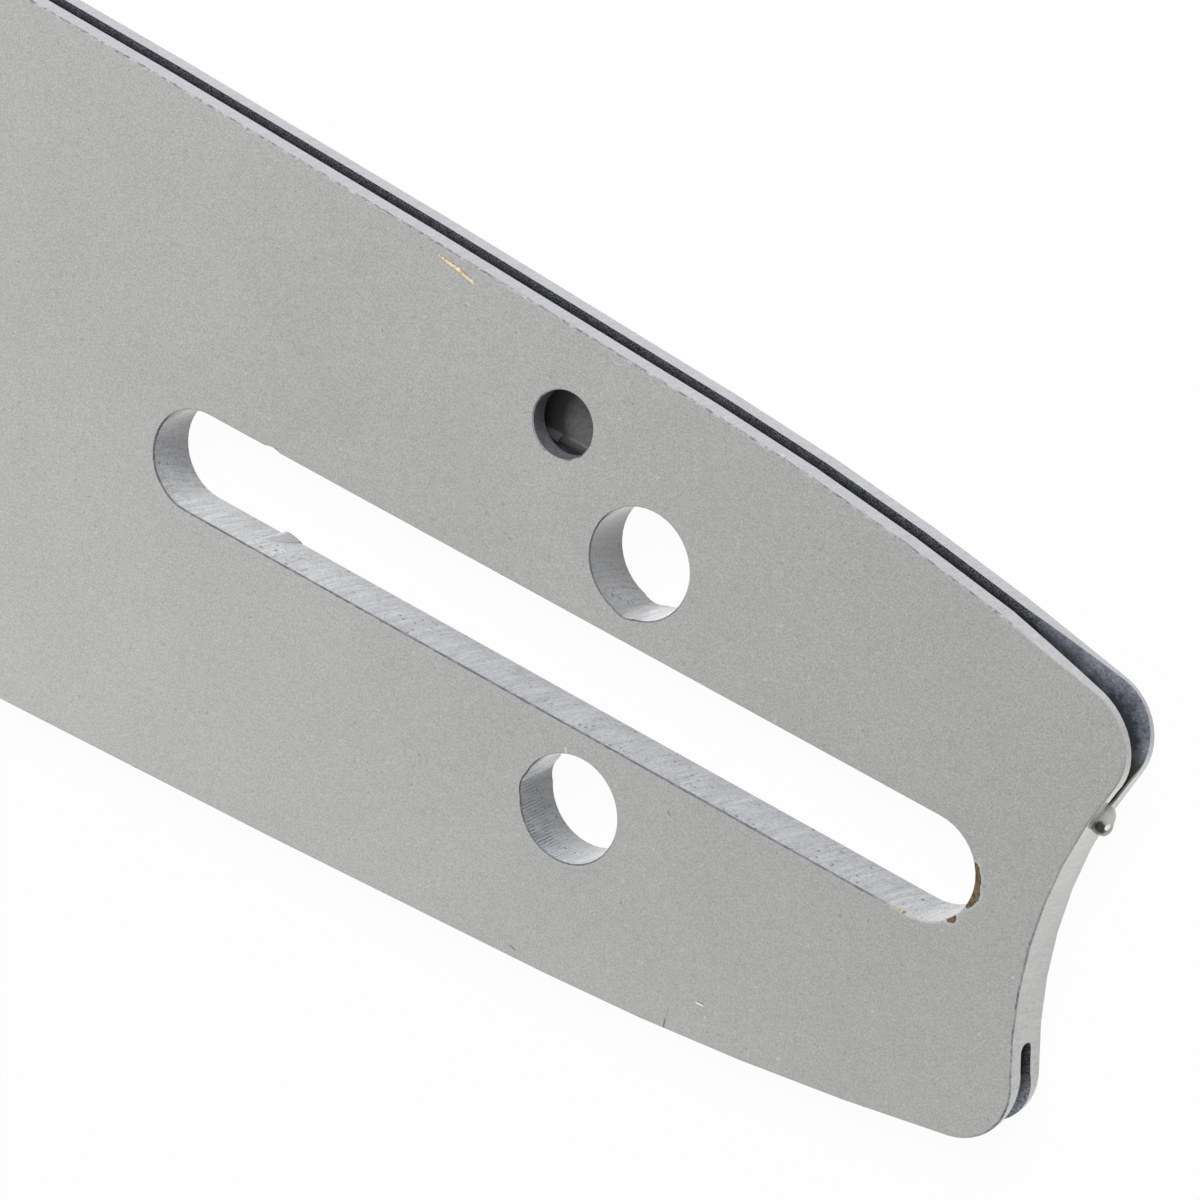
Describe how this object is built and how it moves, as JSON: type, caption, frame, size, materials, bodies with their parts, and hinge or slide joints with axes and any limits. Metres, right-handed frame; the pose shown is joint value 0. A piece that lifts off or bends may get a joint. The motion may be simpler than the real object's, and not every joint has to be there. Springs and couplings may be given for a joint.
{
  "type": "chainsaw guide bar",
  "caption": "Long flat steel bar with rounded nose, chain groove round its edge, stud slot, chain adjuster holes, oil inlets and a hollowed saw end with a flared groove.",
  "frame": {"origin": "centre of the stud slot, at half the plate's thickness", "axes": "+X along the bar towards the saw end, +Y across the bar, +Z out of the front side face; the bar lies flat on its back side face"},
  "size_m": [0.4499, 0.064, 0.0044],
  "materials": {
    "bar_paint": "matte warm pale grey powder coat over laser-cut steel, with bare blue-grey steel inside the groove"
  },
  "bodies": {
    "root": {"bar_body": "bar_paint"}
  },
  "joints": []
}
